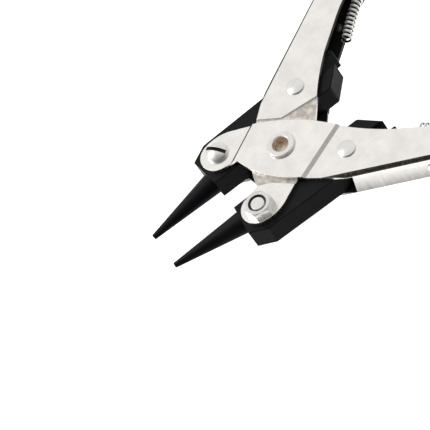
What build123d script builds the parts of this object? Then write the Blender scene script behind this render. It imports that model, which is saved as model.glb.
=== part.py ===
from build123d import *
import os
from math import asin, atan2, cos, degrees, radians, sin, tan

os.makedirs("parts", exist_ok=True)

# Parallel-action round nose pliers, lying flat and open.
# Everything is drawn about the main pivot at mid thickness, and written out with the origin on
# the pivot's axis in the plane of the handles' front faces. +X points to the handle ends, the jaw
# tips are at -X, +Y is the upper side and +Z the front. Lengths are in mm, angles in degrees.

# ---- linkage ----
ARM = 21.4            # main pivot to each jaw screw, and to each tail pin
SCREW_ANGLE = 39.7    # jaw screw above the centre line ahead of the pivot, when open
TAIL_ANGLE = 46.7     # tail pin above the centre line behind the pivot, when open
SQUEEZE = 18.4        # turn of each handle from open to closed
JAW_GAP_CLOSED = 0.02

# ---- thicknesses, measured from the mid plane ----
JAW_HALF = 4.1
CHEEK_IN = 4.15       # inner face of the handle cheeks
SHEET = 1.3
CHEEK_OUT = CHEEK_IN + SHEET
LIFT = 0.9            # how far the lower handle's cheek is stepped out round the pivot
COINED_OUT = CHEEK_IN + 0.85      # the upper handle's cheek is pressed thinner round the pivot
RAMP = 1.0            # width of the step's slope
COIN_SLOPE = 30       # slope of the coined edge, from upright
BEND_R = 1.6          # outside radius of the channel's bends

# ---- handle outline, on the upper handle at rest ----
LOBE_CENTRE = (-17.1, -12.8)
LOBE_R = 5.45         # rounded front end, round the jaw screw
WEB_START = (9.24, 23.57)
WEB_HEADING = 31
WEB_RUN = 29.6        # straight part of the web
REAR_R = 115          # the handle then bends gently inwards
END_HEADING = 11
HANDLE_WIDTH = 10.2   # at the rear end
WEB_SLANT = 1.9       # the web's front edge starts this much further back on the rear face

# ---- jaws ----
NOSE_BASE_R = 3.65
NOSE_TIP_R = 0.85
NOSE_LENGTH = 24.6
SHOULDER_X = -22.7    # inner corner of the jaw's front shoulder
THROAT_R = 5.5        # recess that keeps the throat open behind the nose
SLOT_WIDTH = 4.1
JAW_CHAMFER = 0.25
TAIL_CORNER_R = 1.3

# ---- fasteners ----
PIVOT_BORE_R = 2.5
PIVOT_TUBE_R = 3.3
PIVOT_FLANGE_R = 4.6
PIVOT_FLANGE_H = 0.9
PIVOT_HEAD_R = 4.3    # flat head inside the channel
PIVOT_HEAD_H = 0.8
SCREW_R = 2.5
SCREW_HEAD_R = 3.5
SCREW_HEAD_H = 2.2
DRIVER_SLOT = 1.2
DRIVER_SLOT_ANGLE = -54
DRIVER_SLOT_DEPTH = 1.1
NUT_FLATS = 8.0
NUT_H = 3.2
NUT_ANGLE = 12
SCREW_END = CHEEK_OUT + NUT_H - 0.2     # the threaded end stops just inside the nut
PIN_R = 2.0
PIN_HEAD_R = 2.85
PIN_HEAD_H = 0.9
PEG_R = 1.2
PEG_HEAD_R = 2.1
PEG_HEAD_H = 0.95
PEG_SHANK = 11.0
PEG_RUN = 26          # peg's place along the web
RUNNING = 0.05        # clearance of a running fit

# ---- return spring ----
SPRING_R = 1.85
SPRING_START = (35.9, 21.86)
SPRING_HEADING = 47
SPRING_SIDE_R = 121.7
SPRING_SIDE_TURN = 7.2
SPRING_SHOULDER_R = 18
SPRING_SHOULDER_TURN = 89.8

FAR = 100             # larger than the tool across the pivot


def polar(radius, angle):
    return Vector(radius * cos(radians(angle)), radius * sin(radians(angle)))


def ahead(heading):
    return polar(1, heading)


def left_of(heading):
    return polar(1, heading + 90)


SCREW_UPPER = polar(ARM, 180 - SCREW_ANGLE)
SCREW_LOWER = polar(ARM, 180 + SCREW_ANGLE)
TAIL_UPPER = polar(ARM, TAIL_ANGLE)
TAIL_LOWER = polar(ARM, -TAIL_ANGLE)
CLOSED_SCREW = polar(ARM, 180 - SCREW_ANGLE + SQUEEZE)
SLOT_HEADING = (TAIL_ANGLE - SCREW_ANGLE) / 2
PEG_PLACE = Vector(*WEB_START) + ahead(WEB_HEADING) * PEG_RUN


def prism(face, low, high):
    return extrude(Pos(0, 0, low) * face, amount=high - low)


def disc(centre, radius, low, high):
    return prism(Pos(centre.X, centre.Y) * Circle(radius), low, high)


def both_sides(solid):
    """The solid and its mirror image behind the mid plane."""
    return solid + mirror(solid, about=Plane.XY)


def lower(solid):
    """The lower side's copy of an upper side piece."""
    return mirror(solid, about=Plane.XZ)


# ---------------------------------------------------------------- handles
def web_line(inset):
    """The outer edge of the channel, moved inwards by inset, from the web's start round the end."""
    side = left_of(WEB_HEADING)
    start = Vector(*WEB_START) - side * inset
    straight = Line(start, start + ahead(WEB_HEADING) * WEB_RUN)
    bend = JernArc(straight @ 1, straight % 1, REAR_R - inset, END_HEADING - WEB_HEADING)
    end_cap = JernArc(bend @ 1, bend % 1, HANDLE_WIDTH / 2 - inset, -180)
    return [straight, bend, end_cap]


def handle_outline():
    """One cheek of the upper handle, seen from the front."""
    outer = web_line(0)
    lobe = Vector(*LOBE_CENTRE)
    lobe_lower = lobe + polar(LOBE_R, 265)
    lobe_upper = lobe + polar(LOBE_R, 100)
    lobe_front = lobe + polar(LOBE_R, 180)
    notch_corner = Vector(-13.5, -6.4)
    crown = Vector(-0.4, 14.9)
    belly = Vector(-8, -16.3)
    waist = Vector(12.7, 0.4)
    mouth_start = Vector(17.8, 7.4)
    mouth_middle = Vector(28.9, 20.1)
    mouth_bend = Vector(37.9, 27.7)
    edges = [
        ThreePointArc(lobe_upper, lobe_front, lobe_lower),
        ThreePointArc(lobe_lower, (-12.4, -18.2), belly),
        ThreePointArc(belly, (3.32, -9.06), waist),
        Line(waist, mouth_start),
        ThreePointArc(mouth_start, (23, 14), mouth_middle),
        Line(mouth_middle, mouth_bend),
        ThreePointArc(mouth_bend, (41.8, 30.7), (45.7, 33.1)),
    ]
    mouth_end = outer[2] @ 1
    rear_inner_r = REAR_R - HANDLE_WIDTH
    rear_middle = outer[1].arc_center + (outer[1] @ 0.62 - outer[1].arc_center) * (rear_inner_r / REAR_R)
    edges.append(ThreePointArc(edges[-1] @ 1, rear_middle, mouth_end))
    edges += [
        outer[2],
        outer[1],
        outer[0],
        ThreePointArc(outer[0] @ 0, (4.3, 19.4), crown),
        ThreePointArc(crown, (-8.9, 5.6), notch_corner),
        Line(notch_corner, lobe_upper),
    ]
    return make_face(Wire(edges))


def stepped_sheet(foot, towards_pivot):
    """A sheet that steps out by LIFT at the crease through foot, on the side facing the pivot."""
    normal = Vector(*towards_pivot).normalized()
    crease = Vector(normal.Y, -normal.X)
    reach = 17.5
    section = Plane(origin=(foot[0], foot[1], 0), x_dir=normal, z_dir=crease)
    profile = Polyline(
        (-FAR, CHEEK_IN),
        (0, CHEEK_IN),
        (RAMP, CHEEK_IN + LIFT),
        (reach, CHEEK_IN + LIFT),
        (reach, CHEEK_OUT + LIFT),
        (RAMP, CHEEK_OUT + LIFT),
        (0, CHEEK_OUT),
        (-FAR, CHEEK_OUT),
        close=True,
    )
    return extrude(section * make_face(profile), amount=FAR, both=True)


def coined_area():
    """The part of the upper handle's cheek that is pressed thinner, so that the lower one passes."""
    rim = Polyline(
        (-15, -5.1),
        (-9.1, -8.5),
        (-1.8, -16.4),
        (24, -6),
        (24, 7.1),
        (17.8, 7.6),
        (5.4, 9.2),
        (-2.2, 15.6),
        (-12, 16),
        close=True,
    )
    height = CHEEK_OUT - COINED_OUT
    spread = height * tan(radians(COIN_SLOPE))
    floor = offset(make_face(rim), -spread, kind=Kind.INTERSECTION)
    return extrude(Pos(0, 0, COINED_OUT) * floor, amount=height + 0.3, taper=-COIN_SLOPE)


def web_wall():
    """The channel's outer wall and closed rear end, with a leaning front edge."""
    outer = web_line(0)
    inner = web_line(SHEET)
    band = make_face(
        Wire(
            outer
            + [Line(outer[2] @ 1, inner[2] @ 1)]
            + inner
            + [Line(inner[0] @ 0, outer[0] @ 0)]
        )
    )
    wall = prism(band, -CHEEK_OUT, CHEEK_OUT)
    start = Vector(*WEB_START)
    origin = (start.X, start.Y, 0)
    lean = Plane(origin=origin, x_dir=ahead(WEB_HEADING), z_dir=left_of(WEB_HEADING))
    front_cut = Polyline(
        (-1, CHEEK_OUT),
        (-1, -CHEEK_OUT),
        (WEB_SLANT, -CHEEK_OUT),
        (0, CHEEK_OUT),
        close=True,
    )
    return wall - extrude(lean * make_face(front_cut), amount=3, both=True)


def bend_cutter():
    """What the press takes off the channel's outer corner to round it, on the front side."""
    edges = web_line(0)
    lead_in = Line(edges[0] @ 0 - ahead(WEB_HEADING) * 16, edges[0] @ 0)
    run_out = JernArc(edges[2] @ 1, edges[2] % 1, 8, 50)
    path = Pos(0, 0, CHEEK_OUT) * Wire([lead_in] + edges + [run_out])
    section = Plane(origin=path @ 0, x_dir=(left_of(WEB_HEADING) * -1), z_dir=(path % 0))
    up = section.y_dir.Z
    shallow = BEND_R * (1 - cos(radians(45)))
    corner = [
        Line((-0.5, 0.5 * up), (BEND_R, 0.5 * up)),
        Line((BEND_R, 0.5 * up), (BEND_R, 0)),
        ThreePointArc((BEND_R, 0), (shallow, -shallow * up), (0, -BEND_R * up)),
        Line((0, -BEND_R * up), (-0.5, -BEND_R * up)),
        Line((-0.5, -BEND_R * up), (-0.5, 0.5 * up)),
    ]
    return sweep(section * make_face(Wire(corner)), path=path)


def drilled(handle, pivot_radius):
    """The handle with its holes for the pivot, the jaw screw, the tail pin and the spring peg."""
    handle -= disc(Vector(0, 0), pivot_radius, -10, 10)
    handle -= disc(SCREW_LOWER, SCREW_R, -10, 10)
    handle -= disc(TAIL_UPPER, PIN_R, -10, 10)
    return handle - peg_axis() * Cylinder(PEG_R, 4 * SHEET)


def finish_handle(cheek, pivot_radius):
    """Both cheeks, the web between them and the holes."""
    handle = both_sides(cheek) + web_wall()
    handle -= both_sides(bend_cutter())
    return drilled(handle, pivot_radius)


def upper_handle():
    cheek = prism(handle_outline(), CHEEK_IN, CHEEK_OUT) - coined_area()
    return finish_handle(cheek, PIVOT_TUBE_R + RUNNING)


def lower_handle():
    blank = prism(handle_outline(), CHEEK_IN, CHEEK_OUT + LIFT)
    front_step = stepped_sheet((-8.7, -10.85), (0.51, 0.86))
    rear_step = stepped_sheet((9, 10.8), (-0.4, -0.917))
    cheek = blank & (front_step + rear_step)
    return lower(finish_handle(cheek, PIVOT_TUBE_R))


# ---------------------------------------------------------------- jaws
def upper_jaw():
    """Round nose on a flat block, with a fork at the tail that slides on the tail pin."""
    inner_y = SCREW_UPPER.Y - CLOSED_SCREW.Y + JAW_GAP_CLOSED / 2
    tail_y = 7.83
    lean = degrees(atan2(NOSE_BASE_R - NOSE_TIP_R, NOSE_LENGTH))
    shoulder = Vector(SHOULDER_X, inner_y)
    shoulder_top = shoulder + left_of(lean) * 11.4
    throat = Vector(SCREW_UPPER.X - CLOSED_SCREW.X, inner_y)
    throat_rear = throat.X + (THROAT_R**2 - (tail_y - inner_y) ** 2) ** 0.5
    side = Polyline(
        (throat.X - THROAT_R, inner_y),
        shoulder,
        shoulder_top,
        (-18.5, 20.4),
        (27.3, 21.6),
        (30.6, 19.9),
        (28.8, 14.8),
        (22.7, tail_y),
        (throat_rear, tail_y),
    )
    recess = ThreePointArc(side @ 1, throat + Vector(0, THROAT_R), side @ 0)
    outline = make_face(side.edges() + [recess])
    corners = outline.vertices().filter_by(lambda v: v.X > 20)
    outline = fillet(corners, TAIL_CORNER_R)
    slot = Pos(TAIL_UPPER.X, TAIL_UPPER.Y) * Rot(0, 0, SLOT_HEADING) * (
        Circle(SLOT_WIDTH / 2) + Pos(FAR / 2, 0) * Rectangle(FAR, SLOT_WIDTH)
    )
    block = prism(outline - slot, -JAW_HALF, JAW_HALF)
    flat_edges = block.faces().filter_by(Axis.Z).edges()
    block = chamfer(flat_edges, JAW_CHAMFER)
    nose_axis = -ahead(lean)
    base = shoulder + left_of(lean) * NOSE_BASE_R
    nose = Cone(NOSE_BASE_R, NOSE_TIP_R, NOSE_LENGTH, align=(Align.CENTER, Align.CENTER, Align.MIN))
    nose = fillet(nose.edges().sort_by(Axis.Z)[-1], 0.3)
    nose_plane = Plane(origin=(base.X, base.Y, 0), x_dir=(0, 0, 1), z_dir=nose_axis)
    jaw = block + nose_plane * nose
    return jaw - disc(SCREW_UPPER, SCREW_R + RUNNING, -10, 10)


# ---------------------------------------------------------------- fasteners
def turned(*points, dome=None):
    """A turned piece about Z from (radius, height) points, ending in a dome up to that height."""
    path = [Line(a, b) for a, b in zip(points, points[1:])]
    last = points[-1]
    if dome:
        rise = dome - last[1]
        dome_r = (last[0] ** 2 + rise**2) / (2 * rise)
        half_angle = asin(last[0] / dome_r) / 2
        middle = (dome_r * sin(half_angle), dome - dome_r * (1 - cos(half_angle)))
        path.append(ThreePointArc(last, middle, (0, dome)))
        last = (0, dome)
    path.append(Line(last, points[0]))
    return revolve(Plane.XZ * make_face(Wire(path)), Axis.Z)


def pivot_rivet():
    """Half-hollow rivet of the front cheeks: a flat head inside, and its open end rolled outwards."""
    head_out = CHEEK_IN - RUNNING
    seat = CHEEK_OUT + LIFT
    top = seat + PIVOT_FLANGE_H
    roll = PIVOT_FLANGE_H / 2
    return turned(
        (0, head_out - PIVOT_HEAD_H),
        (PIVOT_HEAD_R, head_out - PIVOT_HEAD_H),
        (PIVOT_HEAD_R, head_out),
        (PIVOT_TUBE_R, head_out),
        (PIVOT_TUBE_R, seat),
        (PIVOT_FLANGE_R, seat),
        (PIVOT_FLANGE_R, seat + roll),
        (PIVOT_FLANGE_R - roll / 3, top - roll / 3),
        (PIVOT_FLANGE_R - roll, top),
        (PIVOT_BORE_R + roll, top),
        (PIVOT_BORE_R + roll / 3, top - roll / 3),
        (PIVOT_BORE_R, top - roll),
        (PIVOT_BORE_R, head_out),
        (0, head_out),
    )


def jaw_screw():
    """Slotted screw with a domed head on the front and its threaded end behind."""
    rim = CHEEK_OUT + 1.2
    top = CHEEK_OUT + SCREW_HEAD_H
    screw = turned(
        (0, -SCREW_END),
        (SCREW_R - 0.4, -SCREW_END),
        (SCREW_R, -SCREW_END + 0.4),
        (SCREW_R, CHEEK_OUT),
        (SCREW_HEAD_R, CHEEK_OUT),
        (SCREW_HEAD_R, rim),
        dome=top,
    )
    cutter = Box(3 * SCREW_HEAD_R, DRIVER_SLOT, 2 * DRIVER_SLOT_DEPTH)
    return screw - Pos(0, 0, top) * Rot(0, 0, DRIVER_SLOT_ANGLE) * cutter


def jaw_nut():
    """Hexagon nut behind the back cheek, its outer corners turned off."""
    face = CHEEK_OUT + NUT_H
    hexagon = Rot(0, 0, NUT_ANGLE) * RegularPolygon(NUT_FLATS / 2, 6, major_radius=False)
    blank = prism(hexagon, -face, -CHEEK_OUT)
    corner = NUT_FLATS / 2 / cos(radians(30))
    turned_blank = turned(
        (SCREW_R, -face),
        (NUT_FLATS / 2 - 0.15, -face),
        (corner + 0.1, -face + 0.6),
        (corner + 0.1, -CHEEK_OUT),
        (SCREW_R, -CHEEK_OUT),
    )
    countersink = turned((SCREW_R, -face + 0.45), (SCREW_R + 0.45, -face), (SCREW_R, -face))
    return (blank & turned_blank) - countersink


def tail_pin():
    """Solid rivet across both cheeks, with a low domed head on each."""
    rim = CHEEK_OUT + 0.45
    top = CHEEK_OUT + PIN_HEAD_H
    half = turned(
        (0, 0),
        (PIN_R, 0),
        (PIN_R, CHEEK_OUT),
        (PIN_HEAD_R, CHEEK_OUT),
        (PIN_HEAD_R, rim),
        dome=top,
    )
    return both_sides(half)


def peg_axis():
    """Placing of the upper spring peg: local Z points out through the web."""
    return Plane(
        origin=(PEG_PLACE.X, PEG_PLACE.Y, 0),
        x_dir=(0, 0, 1),
        z_dir=left_of(WEB_HEADING),
    ).location


def spring_peg():
    """Rivet with a domed head outside the web, its shank crossing the channel to the spring."""
    peg = turned(
        (0, -PEG_SHANK),
        (PEG_R - 0.3, -PEG_SHANK),
        (PEG_R, -PEG_SHANK + 0.3),
        (PEG_R, 0),
        (PEG_HEAD_R, 0),
        (PEG_HEAD_R, 0.3),
        dome=PEG_HEAD_H,
    )
    return peg_axis() * peg


def return_spring():
    """The envelope of one long coil spring, bowed between the handles with its loop at the rear."""
    side = JernArc(SPRING_START, ahead(SPRING_HEADING), SPRING_SIDE_R, -SPRING_SIDE_TURN)
    shoulder = JernArc(side @ 1, side % 1, SPRING_SHOULDER_R, -SPRING_SHOULDER_TURN)
    heading = SPRING_HEADING - SPRING_SIDE_TURN - SPRING_SHOULDER_TURN
    bow_r = (shoulder @ 1).Y / cos(radians(heading))
    bow = JernArc(shoulder @ 1, shoulder % 1, bow_r, -2 * (90 + heading))
    far_shoulder = JernArc(bow @ 1, bow % 1, SPRING_SHOULDER_R, -SPRING_SHOULDER_TURN)
    far_side = JernArc(far_shoulder @ 1, far_shoulder % 1, SPRING_SIDE_R, -SPRING_SIDE_TURN)
    path = Wire([side, shoulder, bow, far_shoulder, far_side])
    section = Plane(origin=path @ 0, z_dir=(path % 0)) * Circle(SPRING_R)
    return sweep(section, path=path)


front_screw = Pos(SCREW_UPPER.X, SCREW_UPPER.Y)
back_screw = Pos(SCREW_LOWER.X, SCREW_LOWER.Y) * Rot(180, 0, 0)

parts = {
    "handle_lower": lower_handle(),
    "handle_upper": upper_handle(),
    "jaw_upper": upper_jaw(),
    "jaw_lower": lower(upper_jaw()),
    "center_rivet_front": pivot_rivet(),
    "center_rivet_back": mirror(pivot_rivet(), about=Plane.XY),
    "jaw_screw_upper": front_screw * jaw_screw(),
    "jaw_nut_upper": front_screw * jaw_nut(),
    "jaw_screw_lower": back_screw * jaw_screw(),
    "jaw_nut_lower": back_screw * jaw_nut(),
    "tail_pin_upper": Pos(TAIL_UPPER.X, TAIL_UPPER.Y) * tail_pin(),
    "tail_pin_lower": Pos(TAIL_LOWER.X, TAIL_LOWER.Y) * tail_pin(),
    "spring_peg_upper": spring_peg(),
    "spring_peg_lower": lower(spring_peg()),
    "return_spring": return_spring(),
}

front_plane = Pos(0, 0, -CHEEK_OUT)
for name, solid in parts.items():
    export_step(front_plane * solid, f"parts/{name}.step")
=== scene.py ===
"""Looks for the parallel-action round nose pliers: materials, the wound return spring, light and camera."""

import math

import bmesh
import bpy
from mathutils import Matrix, Vector


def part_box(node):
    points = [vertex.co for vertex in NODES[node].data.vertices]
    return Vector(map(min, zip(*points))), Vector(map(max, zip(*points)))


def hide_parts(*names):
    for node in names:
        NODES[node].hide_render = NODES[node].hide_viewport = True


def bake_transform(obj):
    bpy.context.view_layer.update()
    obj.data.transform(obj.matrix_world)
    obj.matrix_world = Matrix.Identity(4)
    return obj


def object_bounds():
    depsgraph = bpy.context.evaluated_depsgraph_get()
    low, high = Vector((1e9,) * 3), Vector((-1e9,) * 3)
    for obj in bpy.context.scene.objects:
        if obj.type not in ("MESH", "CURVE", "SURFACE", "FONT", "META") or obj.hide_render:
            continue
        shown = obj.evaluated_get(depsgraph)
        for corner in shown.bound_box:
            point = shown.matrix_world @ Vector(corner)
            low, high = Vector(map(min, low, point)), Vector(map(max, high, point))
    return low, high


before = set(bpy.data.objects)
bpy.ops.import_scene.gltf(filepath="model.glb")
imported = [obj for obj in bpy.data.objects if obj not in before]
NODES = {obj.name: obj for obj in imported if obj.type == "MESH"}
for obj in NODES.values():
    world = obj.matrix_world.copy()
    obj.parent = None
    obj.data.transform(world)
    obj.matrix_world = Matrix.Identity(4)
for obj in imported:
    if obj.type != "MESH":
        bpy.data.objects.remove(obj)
CAD_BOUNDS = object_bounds()
MM = 0.001

# Levels of the handles' sheet, from the mid plane of the tool, which is below the origin
MID_Z = -0.00545
CHEEK_IN = 0.00415
COINED_OUT = 0.0050
CHEEK_OUT = 0.00545

# Sizes of the pieces whose faces carry two finishes
WEB_OUTWARD = Vector((-0.515, 0.857, 0))     # out of the upper handle's web
STEP_SLOPE = (0.72, 0.77)     # upright part of the normal on the lower handle's steps
COIN_SLOPE = (0.45, 0.55)     # and on the edge of the coined area
COINED_REACH = 0.026
BEND_SLOPE = (0.30, 0.975)    # upright part of the normal along the painted dark band of the bends
BEND_R = 0.0016
BEND_START_X = 0.007
MOUTH_START_X = 0.0175        # the handles' inner edges get the painted shade behind here
PEG_HEAD_H = 0.00095
SCREW_R = 0.0025
SCREW_HEAD_R = 0.0035
DRIVER_SLOT_DEPTH = 0.0011
PIVOT_BORE_R = 0.0025
NUT_SHADE_RING = (SCREW_R - 0.0001, SCREW_R + 0.00045)     # painted shade: a dark ring painted in the countersink round a screw's end in its nut
FASTENER_SHADE_RINGS = {"jaw_screw": None, "jaw_nut": NUT_SHADE_RING, "tail_pin": None}
LEVEL_SLACK = 0.00002         # how far a face may be from its level and still count as on it

# Floor: a sheet just under the lowest point of the tool
FLOOR_Z = CAD_BOUNDS[0][2]
FLOOR_GAP = 0.0001
FLOOR_HALF = 3.0

# Return spring: the same route as its plain CAD tube, in mm and degrees
SPRING_START = Vector((35.9, 21.86, MID_Z / MM))
SPRING_HEADING = 47
SPRING_SIDE = (121.7, 7.2)
SPRING_SHOULDER = (18, 89.8)
SPRING_OUTER_R = 1.83
SPRING_WIRE_R = 0.42
SPRING_PITCH = 1.54
WIRE_SIDES = 10
STEPS_PER_TURN = 20
ROUTE_SPACING = 0.25

# Camera
CAMERA_DISTANCE = 1.0
CAMERA_TILT = 38.3           # leans from straight above towards the lower handle
VIEW_WIDTH = 0.1303
VIEW_CENTRE = Vector((-0.0286, -0.0007, -0.00555))
VIEW_ROLL = 37.52            # turns the picture about the line of sight
SENSOR = 36

# Studio: directions of the big soft light and of the dim near side, and how bright the rest is
SOFT_LIGHT = Vector((0, 0.70, 0.71))
NEAR_SIDE = Vector((-0.25, -0.74, 0.62))
NEAR_SIDE_LEVEL = 0.45
FAR_FROM_SOFT_LEVEL = 0.55


# ------------------------------------------------------------------ node helpers
class Graph:
    """A small builder of shader nodes, in a material or in the world."""

    def __init__(self, owner):
        owner.use_nodes = True
        self.tree = owner.node_tree
        self.tree.nodes.clear()

    def link(self, source, target):
        self.tree.links.new(source, target)

    def node(self, kind, inputs=None, **settings):
        made = self.tree.nodes.new(kind)
        for key, value in settings.items():
            setattr(made, key, value)
        for key, value in (inputs or {}).items():
            if isinstance(value, bpy.types.NodeSocket):
                self.link(value, made.inputs[key])
            else:
                made.inputs[key].default_value = value
        return made

    def place(self):
        """Object coordinates: the row's own frame in metres, which rides with the body."""
        return self.node("ShaderNodeTexCoord").outputs["Object"]

    def mapped(self, vector, rotation=(0, 0, 0), scale=(1, 1, 1)):
        turned = tuple(math.radians(a) for a in rotation)
        return self.node(
            "ShaderNodeMapping", {"Vector": vector, "Rotation": turned, "Scale": scale}
        ).outputs[0]

    def noise(self, vector, scale, detail=4, roughness=0.55):
        return self.node(
            "ShaderNodeTexNoise",
            {"Vector": vector, "Scale": scale, "Detail": detail, "Roughness": roughness},
        ).outputs["Fac"]

    def between(self, value, low, high, to_low=0.0, to_high=1.0):
        return self.node(
            "ShaderNodeMapRange",
            {"Value": value, "From Min": low, "From Max": high, "To Min": to_low, "To Max": to_high},
        ).outputs[0]

    def own_normal(self):
        return self.node("ShaderNodeTexCoord").outputs["Normal"]

    def dot(self, first, second):
        return self.node(
            "ShaderNodeVectorMath", {0: first, 1: second}, operation="DOT_PRODUCT"
        ).outputs["Value"]

    def vector(self, operation, *values):
        return self.node("ShaderNodeVectorMath", dict(enumerate(values)), operation=operation).outputs[0]

    def math(self, operation, *values):
        return self.node(
            "ShaderNodeMath", dict(enumerate(values)), operation=operation
        ).outputs[0]

    def mix(self, factor, first, second):
        return self.node(
            "ShaderNodeMix", {"Factor": factor, 6: first, 7: second}, data_type="RGBA"
        ).outputs[2]

    def edges(self, radius):
        """1 along the edges of the shape and 0 on its flats, with the rounded normal."""
        rounded = self.node("ShaderNodeBevel", {"Radius": radius}, samples=6).outputs[0]
        straight = self.node("ShaderNodeNewGeometry").outputs["True Normal"]
        return self.between(self.dot(rounded, straight), 0.99, 0.8), rounded

    def bump(self, height, distance, strength=1.0, normal=None):
        inputs = {"Height": height, "Distance": distance, "Strength": strength}
        if normal is not None:
            inputs["Normal"] = normal
        return self.node("ShaderNodeBump", inputs).outputs[0]


class Finish(Graph):
    """A surface material made round one Principled shader."""

    def __init__(self, name):
        self.material = bpy.data.materials.new(name)
        super().__init__(self.material)

    def done(self, **inputs):
        named = {key.replace("_", " "): value for key, value in inputs.items()}
        shader = self.node("ShaderNodeBsdfPrincipled", named)
        self.node("ShaderNodeOutputMaterial", {"Surface": shader.outputs[0]})
        return self.material


def scratches(graph, place, heading, fine):
    """Thin lines along a heading, with their ends broken up."""
    stretched = graph.mapped(place, rotation=(0, 0, -heading), scale=(fine * 0.02, fine, fine * 0.3))
    lines = graph.noise(stretched, 1.0, detail=3, roughness=0.6)
    return graph.between(lines, 0.60, 0.68)


# ------------------------------------------------------------------ materials
def nickel_plate():
    """Pressed steel with a soft warm nickel plate, greyer and pitted where it was coined thinner, partly a
    duller finish and partly painted shade, and with painted shade darkening its side faces towards the
    back.
    """
    g = Finish("nickel_plate")
    place = g.place()
    edge, rounded = g.edges(0.00018)
    clouds = g.noise(place, 160, detail=5, roughness=0.6)
    grain = g.noise(place, 2600, detail=3)
    tone = g.mix(g.between(clouds, 0.35, 0.68), (0.77, 0.75, 0.72, 1), (0.87, 0.85, 0.82, 1))
    tone = g.mix(g.math("MULTIPLY", edge, 0.6), tone, (0.90, 0.89, 0.87, 1))
    marks = g.math("MAXIMUM", scratches(g, place, 20, 5200), scratches(g, place, -48, 4100))
    rough = g.between(g.noise(place, 420, detail=4), 0.3, 0.7, 0.17, 0.27)
    rough = g.math("ADD", rough, g.math("MULTIPLY", marks, 0.10))

    height_up = g.node("ShaderNodeSeparateXYZ", {0: place}).outputs["Z"]
    level = g.math("ABSOLUTE", g.math("SUBTRACT", height_up, MID_Z))
    upright = g.math("ABSOLUTE", g.node("ShaderNodeSeparateXYZ", {0: g.own_normal()}).outputs["Z"])
    pressed_level = g.between(level, COINED_OUT + 0.00008, COINED_OUT + 0.00003)
    coined = g.math("MULTIPLY", pressed_level, g.between(upright, 0.97, 0.99))
    pits = g.between(g.noise(place, 520, detail=6, roughness=0.7), 0.42, 0.66)
    # the coined area's tone: greyer and pitted, partly a duller finish and partly painted shade
    coined_tone_and_shade = g.mix(pits, (0.42, 0.385, 0.35, 1), (0.74, 0.70, 0.66, 1))
    tone = g.mix(coined, tone, coined_tone_and_shade)
    # painted shade: side faces painted darker towards the back of the tool, broken into streaks
    back = g.between(g.math("SUBTRACT", height_up, MID_Z), 0.0045, -CHEEK_OUT)
    streaks = g.noise(g.mapped(place, scale=(700, 700, 60)), 1.0, detail=3)
    painted_back_shade = g.math("MULTIPLY", back, g.between(upright, 0.6, 0.2))
    painted_back_shade = g.math("MULTIPLY", painted_back_shade, g.between(streaks, 0.3, 0.7, 0.70, 0.92))
    tone = g.mix(painted_back_shade, tone, (0.10, 0.095, 0.09, 1))
    rough = g.math("ADD", rough, g.math("MULTIPLY", coined, 0.12))

    height = g.math("ADD", g.math("MULTIPLY", grain, 0.5), g.math("MULTIPLY", clouds, 1.5))
    height = g.math("SUBTRACT", height, g.math("MULTIPLY", marks, 0.35))
    height = g.math("ADD", height, g.math("MULTIPLY", g.math("MULTIPLY", pits, coined), 1.5))
    return g.done(
        Base_Color=tone,
        Metallic=1.0,
        Roughness=rough,
        Normal=g.bump(height, 0.000012, 1.0, rounded),
    )


def painted_shade_lining():
    """Painted shade: near-black pressed steel inside the handles' channels and on the other places that lie
    in shade.
    """
    g = Finish("painted_shade_lining")
    place = g.place()
    clouds = g.noise(place, 300, detail=5)
    tone = g.mix(clouds, (0.008, 0.0075, 0.007, 1), (0.030, 0.028, 0.026, 1))
    return g.done(
        Base_Color=tone,
        Metallic=0.4,
        Roughness=g.between(clouds, 0.3, 0.7, 0.55, 0.75),
        Normal=g.bump(g.noise(place, 1800, detail=4), 0.00002),
    )


def painted_bend_shade():
    """Painted reflection along the channels' bends: a dark painted-shade band with thin lighter streaks
    along it.
    """
    g = Finish("painted_bend_shade")
    place = g.place()
    clouds = g.noise(place, 500, detail=5)
    streaks = g.math("MAXIMUM", scratches(g, place, 31, 5200), scratches(g, place, -31, 5200))
    tone = g.mix(clouds, (0.012, 0.010, 0.008, 1), (0.055, 0.050, 0.044, 1))
    tone = g.mix(g.math("MULTIPLY", streaks, 0.45), tone, (0.42, 0.40, 0.37, 1))
    return g.done(
        Base_Color=tone,
        Metallic=0.7,
        Roughness=g.between(clouds, 0.3, 0.7, 0.30, 0.45),
        Normal=g.bump(g.noise(place, 2200, detail=4), 0.000010),
    )


def worn_step():
    """The pressed slopes of the handles' sheet, dull where the plate is thin."""
    g = Finish("worn_step")
    place = g.place()
    clouds = g.noise(place, 700, detail=5)
    tone = g.mix(clouds, (0.58, 0.56, 0.53, 1), (0.84, 0.82, 0.79, 1))
    return g.done(
        Base_Color=tone,
        Metallic=0.1,
        Roughness=g.between(clouds, 0.3, 0.7, 0.40, 0.58),
        Normal=g.bump(g.noise(place, 2200, detail=4), 0.000015),
    )


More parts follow.
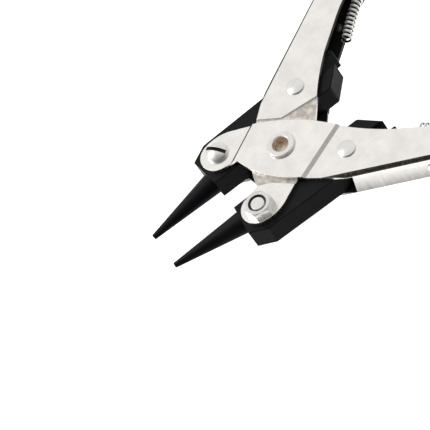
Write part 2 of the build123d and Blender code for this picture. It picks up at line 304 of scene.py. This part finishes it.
def black_oxide():
    """Forged steel under a satin black oxide, worn to grey along its edges, with painted shade on its
    sides.
    """
    g = Finish("black_oxide")
    place = g.place()
    edge, rounded = g.edges(0.00022)
    clouds = g.noise(place, 240, detail=5)
    grain = g.noise(place, 3200, detail=3)
    facing = g.node("ShaderNodeSeparateXYZ", {0: g.own_normal()}).outputs["Z"]
    # painted shade: the sides are painted darker than the flat faces, and the flats get more specular
    flat_face = g.between(g.math("ABSOLUTE", facing), 0.35, 0.98)
    tone = g.mix(clouds, (0.0006, 0.0006, 0.0009, 1), (0.0022, 0.0023, 0.0032, 1))
    ground = g.mix(clouds, (0.0025, 0.0027, 0.0036, 1), (0.0065, 0.0070, 0.0090, 1))
    tone = g.mix(flat_face, tone, ground)
    worn = g.math("MULTIPLY", edge, g.between(clouds, 0.40, 0.62, 0.05, 0.7))
    tone = g.mix(worn, tone, (0.045, 0.047, 0.052, 1))
    rough = g.between(g.noise(place, 600, detail=4), 0.3, 0.7, 0.30, 0.46)
    height = g.math("ADD", g.math("MULTIPLY", grain, 0.8), clouds)
    return g.done(
        Base_Color=tone,
        Metallic=0.0,
        Specular_IOR_Level=g.between(flat_face, 0.0, 1.0, 0.05, 0.14),
        Roughness=rough,
        Normal=g.bump(height, 0.000016, 1.0, rounded),
    )


def bright_steel(name, axis_point, bore=None, painted_shade_ring=None):
    """Turned and plated steel, with fine rings about its own axis. A bore has a brown wall and a floor
    painted bright with painted light; a nut can carry a ring of painted shade round the screw's end.
    """
    g = Finish(name)
    place = g.place()
    edge, rounded = g.edges(0.00012)
    local = g.vector("SUBTRACT", place, tuple(axis_point))
    flat = g.vector("MULTIPLY", local, (1, 1, 0))
    radius = g.node("ShaderNodeVectorMath", {0: flat}, operation="LENGTH").outputs["Value"]
    rings = g.math("SINE", g.math("MULTIPLY", radius, 60000))
    clouds = g.noise(place, 420, detail=5)
    tone = g.mix(clouds, (0.64, 0.63, 0.61, 1), (0.82, 0.81, 0.79, 1))
    tone = g.mix(g.math("MULTIPLY", edge, 0.5), tone, (0.92, 0.91, 0.90, 1))
    metallic = 1.0
    if bore:
        upright = g.math("ABSOLUTE", g.node("ShaderNodeSeparateXYZ", {0: g.own_normal()}).outputs["Z"])
        inside = g.between(radius, bore + 0.00002, bore + 0.00012, 1.0, 0.0)
        wall = g.math("MULTIPLY", inside, g.between(upright, 0.6, 0.2))
        mottled = g.between(g.noise(place, 1100, detail=5), 0.38, 0.62)
        # painted light: the bore's floor is painted near-white cream and matte, so it reads bright down the
        # hole
        painted_lit_bottom = g.mix(mottled, (0.78, 0.68, 0.54, 1), (0.99, 0.97, 0.92, 1))
        tarnish = g.mix(mottled, (0.45, 0.30, 0.18, 1), (0.86, 0.72, 0.55, 1))
        tone = g.mix(inside, tone, painted_lit_bottom)
        tone = g.mix(wall, tone, tarnish)
        metallic = g.between(inside, 0.0, 1.0, 1.0, 0.1)
    # painted shade in the countersink round the screw's end
    if painted_shade_ring:
        inner, outer = painted_shade_ring
        from_outside = g.between(radius, outer - 0.00006, outer, 1.0, 0.0)
        tone = g.mix(
            g.math("MULTIPLY", g.between(radius, inner - 0.00006, inner), from_outside),
            tone,
            (0.02, 0.018, 0.016, 1),
        )
        metallic = 0.6
    rough = g.between(g.noise(place, 900, detail=4), 0.3, 0.7, 0.16, 0.32)
    height = g.math("ADD", g.math("MULTIPLY", rings, 0.12), g.noise(place, 2400, detail=3))
    return g.done(
        Base_Color=tone,
        Metallic=metallic,
        Roughness=rough,
        Normal=g.bump(height, 0.000010, 1.0, rounded),
    )


def spring_wire():
    """Bright drawn wire, painted black as painted shade on the side that faces into the coil."""
    g = Finish("spring_wire")
    place = g.place()
    inward = g.node("ShaderNodeAttribute", attribute_name="inward").outputs["Fac"]
    clouds = g.noise(place, 700, detail=4)
    tone = g.mix(clouds, (0.90, 0.89, 0.87, 1), (1.0, 0.99, 0.97, 1))
    # painted shade on the inward side of the wire, where the coil shades itself
    painted_inner_shade = g.between(inward, 0.44, 0.58)
    tone = g.mix(painted_inner_shade, tone, (0.006, 0.0055, 0.005, 1))
    rough = g.between(g.noise(place, 1500, detail=3), 0.3, 0.7, 0.24, 0.36)
    return g.done(
        Base_Color=tone,
        Metallic=g.between(painted_inner_shade, 0.0, 1.0, 0.45, 0.0),
        Specular_IOR_Level=g.between(painted_inner_shade, 0.0, 1.0, 0.5, 0.1),
        Roughness=rough,
        Normal=g.bump(g.noise(place, 5200, detail=3), 0.000003),
    )


def dress(node, *materials):
    """Gives a CAD node its materials, the first one on every face."""
    mesh = NODES[node].data
    mesh.materials.clear()
    for material in materials:
        mesh.materials.append(material)


def middle(node):
    """The centre of a CAD node's box."""
    low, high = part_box(node)
    return (Vector(low) + Vector(high)) / 2


def line_channel(node):
    """Gives the painted shade, the second material, to the faces inside a handle's channel and along its
    rear inner edges.
    """
    outward = 1 if node == "handle_upper" else -1
    for polygon in NODES[node].data.polygons:
        level = polygon.center.z - MID_Z
        facing_in = polygon.normal.y * outward < -0.3 and abs(polygon.normal.z) < 0.5
        if abs(level) > CHEEK_IN + LEVEL_SLACK:
            lining = facing_in and polygon.center.x > MOUTH_START_X
        else:
            cheek = polygon.normal.z * level < 0 and abs(polygon.normal.z) > 0.9
            lining = cheek or facing_in
        if lining:
            polygon.material_index = 1


def choose(node, index, chosen):
    """Gives a material to the polygons of a node that the test chooses."""
    for polygon in NODES[node].data.polygons:
        if chosen(polygon):
            polygon.material_index = index


def mark_bends(node):
    """The rounded outer corners of a handle's channel, behind its open front end, which get the painted
    dark band.
    """
    outward = 1 if node == "handle_upper" else -1

    def on_bend(polygon):
        level = abs(polygon.center.z - MID_Z)
        tilted = BEND_SLOPE[0] < abs(polygon.normal.z) < BEND_SLOPE[1]
        return tilted and level > CHEEK_OUT - BEND_R and polygon.normal.y * outward > 0.1

    choose(node, 3, lambda p: on_bend(p) and p.center.x > BEND_START_X)


def mark_steps(node):
    """Painted shade in the front step's crease, and dull slopes on the rear step and round the coined area.
    """

    def slope(polygon, low, high):
        level = abs(polygon.center.z - MID_Z)
        return low < abs(polygon.normal.z) < high and level > COINED_OUT

    if node == "handle_lower":
        choose(node, 2, lambda p: slope(p, *STEP_SLOPE) and p.normal.x > 0.2 and abs(p.normal.y) > 0.5)
        # painted shade in the front step's crease
        choose(node, 1, lambda p: slope(p, *STEP_SLOPE) and p.normal.x < -0.2 and p.center.x < 0)
    else:
        choose(node, 2, lambda p: slope(p, *COIN_SLOPE) and p.center.length < COINED_REACH)


def line_driver_slot(node, front):
    """The floor and walls of a screw's driver slot, which get the painted shade."""
    low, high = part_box(node)
    centre = middle(node)
    top = high[2] if front else low[2]

    def in_slot(polygon):
        out = polygon.center - centre
        if out.xy.length > SCREW_HEAD_R - 0.00005:
            return False
        depth = abs(top - polygon.center.z)
        floor_face = abs(polygon.normal.z) > 0.99 and abs(depth - DRIVER_SLOT_DEPTH) < 0.0001
        wall_face = abs(polygon.normal.z) < 0.05 and depth < DRIVER_SLOT_DEPTH
        return floor_face or wall_face

    choose(node, 1, in_slot)


def line_peg_shank(node, outward):
    """The part of a spring peg behind its head, which gets the painted shade."""
    top = max(polygon.center.dot(outward) for polygon in NODES[node].data.polygons)
    head_back = top - PEG_HEAD_H - 0.0001
    choose(node, 1, lambda polygon: polygon.center.dot(outward) < head_back)


def dress_cad_nodes():
    plate = nickel_plate()
    # painted shade for the channels' insides, rear inner edges, driver slots and peg shanks
    inside = painted_shade_lining()
    step = worn_step()
    # painted shade: a dark reflection band along the channels' bends
    scale = painted_bend_shade()
    oxide = black_oxide()
    for side in ("upper", "lower"):
        dress(f"handle_{side}", plate, inside, step, scale)
        line_channel(f"handle_{side}")
        mark_bends(f"handle_{side}")
        mark_steps(f"handle_{side}")
        dress(f"jaw_{side}", oxide)
        peg = f"spring_peg_{side}"
        dress(peg, bright_steel(f"{peg}_steel", middle(peg)), inside)
        outward = Vector((WEB_OUTWARD.x, WEB_OUTWARD.y * (1 if side == "upper" else -1), 0))
        line_peg_shank(peg, outward)
        for kind, ring in FASTENER_SHADE_RINGS.items():
            node = f"{kind}_{side}"
            steel = bright_steel(f"{node}_steel", middle(node), painted_shade_ring=ring)
            dress(node, steel, inside)
        line_driver_slot(f"jaw_screw_{side}", side == "upper")
    for face in ("front", "back"):
        node = f"center_rivet_{face}"
        dress(node, bright_steel(f"{node}_steel", middle(node), bore=PIVOT_BORE_R))


# ------------------------------------------------------------------ return spring
def arc_points(start, heading, radius, turn, spacing):
    """Points along an arc that turns clockwise, and the heading at its end."""
    angle = math.radians(heading)
    centre = start + radius * Vector((math.sin(angle), -math.cos(angle), 0))
    length = radius * math.radians(turn)
    count = max(2, round(length / spacing))
    points = []
    for i in range(count + 1):
        a = angle - math.radians(turn) * i / count
        points.append(centre + radius * Vector((-math.sin(a), math.cos(a), 0)))
    return points, heading - turn


def spring_route(spacing):
    """The spring's centre line, from the upper handle round the rear to the lower one."""
    side, heading = arc_points(SPRING_START, SPRING_HEADING, *SPRING_SIDE, spacing)
    shoulder, heading = arc_points(side[-1], heading, *SPRING_SHOULDER, spacing)
    bow_r = shoulder[-1].y / math.cos(math.radians(heading))
    bow, heading = arc_points(shoulder[-1], heading, bow_r, 2 * (90 + heading), spacing)
    far_shoulder, heading = arc_points(bow[-1], heading, *SPRING_SHOULDER, spacing)
    far_side, heading = arc_points(far_shoulder[-1], heading, *SPRING_SIDE, spacing)
    route = side
    for stretch in (shoulder, bow, far_shoulder, far_side):
        route += stretch[1:]
    return route


def along(route, distances):
    """Points and unit tangents at the given distances along a route."""
    found = []
    travelled = 0.0
    i = 0
    for distance in distances:
        step = (route[i + 1] - route[i]).length
        while travelled + step < distance and i < len(route) - 2:
            travelled += step
            i += 1
            step = (route[i + 1] - route[i]).length
        share = (distance - travelled) / step
        found.append((route[i].lerp(route[i + 1], share), (route[i + 1] - route[i]).normalized()))
    return found


def wire_mesh(name, centres, axis_points, radius):
    """A closed round wire through the given centres. It notes how far each point faces its axis point."""
    bm = bmesh.new()
    inward = bm.verts.layers.float.new("inward")
    rings = []
    side = Vector((0, 0, 1))
    for i, centre in enumerate(centres):
        before = centres[max(0, i - 1)]
        after = centres[min(len(centres) - 1, i + 1)]
        tangent = (after - before).normalized()
        side = (side - tangent * side.dot(tangent)).normalized()
        other = tangent.cross(side)
        to_axis = (axis_points[i] - centre).normalized()
        ring = []
        for k in range(WIRE_SIDES):
            a = 2 * math.pi * k / WIRE_SIDES
            out = math.cos(a) * side + math.sin(a) * other
            vert = bm.verts.new(centre + radius * out)
            vert[inward] = 0.5 + 0.5 * out.dot(to_axis)
            ring.append(vert)
        rings.append(ring)
    for first, second in zip(rings, rings[1:]):
        for k in range(WIRE_SIDES):
            n = (k + 1) % WIRE_SIDES
            bm.faces.new((first[k], first[n], second[n], second[k]))
    bm.faces.new(list(reversed(rings[0])))
    bm.faces.new(rings[-1])
    bmesh.ops.recalc_face_normals(bm, faces=bm.faces)
    mesh = bpy.data.meshes.new(name)
    bm.to_mesh(mesh)
    bm.free()
    for polygon in mesh.polygons:
        polygon.use_smooth = True
    made = bpy.data.objects.new(name, mesh)
    bpy.context.scene.collection.objects.link(made)
    return made


def return_spring():
    """A wire wound left-handed along the spring's route, in two halves that meet at the bow's middle.
    """
    route = spring_route(ROUTE_SPACING)
    length = sum((b - a).length for a, b in zip(route, route[1:]))
    steps = int(length / SPRING_PITCH * STEPS_PER_TURN)
    coil_r = SPRING_OUTER_R - SPRING_WIRE_R
    margin = SPRING_WIRE_R
    distances = [margin + (length - 2 * margin) * i / steps for i in range(steps + 1)]
    centres = []
    axis_points = []
    for i, (point, tangent) in enumerate(along(route, distances)):
        across = Vector((-tangent.y, tangent.x, 0))
        a = -2 * math.pi * i / STEPS_PER_TURN
        coil = coil_r * (math.cos(a) * across + math.sin(a) * Vector((0, 0, 1)))
        centres.append((point + coil) * MM)
        axis_points.append(point * MM)
    # the join is at a coil's top or bottom, over the route, where both halves move alike
    quarter = STEPS_PER_TURN // 4
    half = quarter + 2 * quarter * round((len(centres) / 2 - quarter) / (2 * quarter))
    wire = spring_wire()
    first = route[0] * MM
    halves = [
        ("upper", "jaw_lower", slice(0, half + 1), first),
        ("lower", "jaw_upper", slice(half, None), Vector((first.x, -first.y, first.z))),
    ]
    for side, jaw, stretch, start in halves:
        name = f"return_spring_{side}"
        made = wire_mesh(name, centres[stretch], axis_points[stretch], SPRING_WIRE_R * MM)
        made.data.materials.append(wire)
        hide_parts("return_spring")
        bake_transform(made)


# ------------------------------------------------------------------ stage, light and camera
def floor():
    """A plain white sheet under the tool."""
    half = FLOOR_HALF
    corners = [(-half, -half, 0), (half, -half, 0), (half, half, 0), (-half, half, 0)]
    mesh = bpy.data.meshes.new("floor")
    mesh.from_pydata(corners, [], [(0, 1, 2, 3)])
    ground = bpy.data.objects.new("floor", mesh)
    ground.location.z = FLOOR_Z - FLOOR_GAP
    bpy.context.scene.collection.objects.link(ground)
    g = Finish("floor_paper")
    mesh.materials.append(
        g.done(
            Base_Color=(0.90, 0.90, 0.90, 1),
            Roughness=0.9,
            Specular_IOR_Level=0.0,
            Emission_Color=(1, 1, 1, 1),
            Emission_Strength=0.80,
        )
    )


def area_light(name, place, target, size, watts):
    light = bpy.data.lights.new(name, "AREA")
    light.shape = "RECTANGLE"
    light.size, light.size_y = size
    light.energy = watts
    made = bpy.data.objects.new(name, light)
    made.location = place
    direction = Vector(target) - Vector(place)
    made.rotation_euler = direction.to_track_quat("-Z", "Y").to_euler()
    bpy.context.scene.collection.objects.link(made)


def studio():
    """A big soft light over the far side, a dim near side, and a small key light for the shadows."""
    world = bpy.data.worlds.new("studio")
    bpy.context.scene.world = world
    g = Graph(world)
    direction = g.node("ShaderNodeTexCoord").outputs["Generated"]
    towards_soft = g.dot(direction, SOFT_LIGHT)
    towards_near = g.dot(direction, NEAR_SIDE)
    soft = g.between(towards_soft, 0.10, 0.72, FAR_FROM_SOFT_LEVEL, 1.0)
    dark = g.between(towards_near, 0.50, 0.80, 1.0, NEAR_SIDE_LEVEL)
    level = g.math("MULTIPLY", soft, dark)
    background = g.node("ShaderNodeBackground", {"Color": (1.0, 0.995, 0.985, 1), "Strength": level})
    g.node("ShaderNodeOutputWorld", {"Surface": background.outputs[0]})
    area_light("key", (-0.30, 0.30, 0.50), (0, 0, 0), (0.25, 0.25), 0.7)


def camera():
    """Looks down on the tool from the lower handle's side, rolled so the jaws point down to the left."""
    tilt = math.radians(CAMERA_TILT)
    towards = Vector((0, -math.sin(tilt), math.cos(tilt)))
    level_right = Vector((1, 0, 0))
    level_up = towards.cross(level_right)
    roll = math.radians(VIEW_ROLL)
    right = level_right * math.cos(roll) - level_up * math.sin(roll)
    up = level_right * math.sin(roll) + level_up * math.cos(roll)
    data = bpy.data.cameras.new("camera")
    data.sensor_width = SENSOR
    data.lens = SENSOR * CAMERA_DISTANCE / VIEW_WIDTH
    data.clip_start = 0.01
    data.clip_end = 20
    made = bpy.data.objects.new("camera", data)
    rotation = Matrix((right, up, towards)).transposed()
    made.matrix_world = Matrix.Translation(VIEW_CENTRE + towards * CAMERA_DISTANCE) @ rotation.to_4x4()
    bpy.context.scene.collection.objects.link(made)
    bpy.context.scene.camera = made


dress_cad_nodes()
return_spring()
floor()
studio()
camera()
bpy.context.scene.view_settings.view_transform = "Standard"
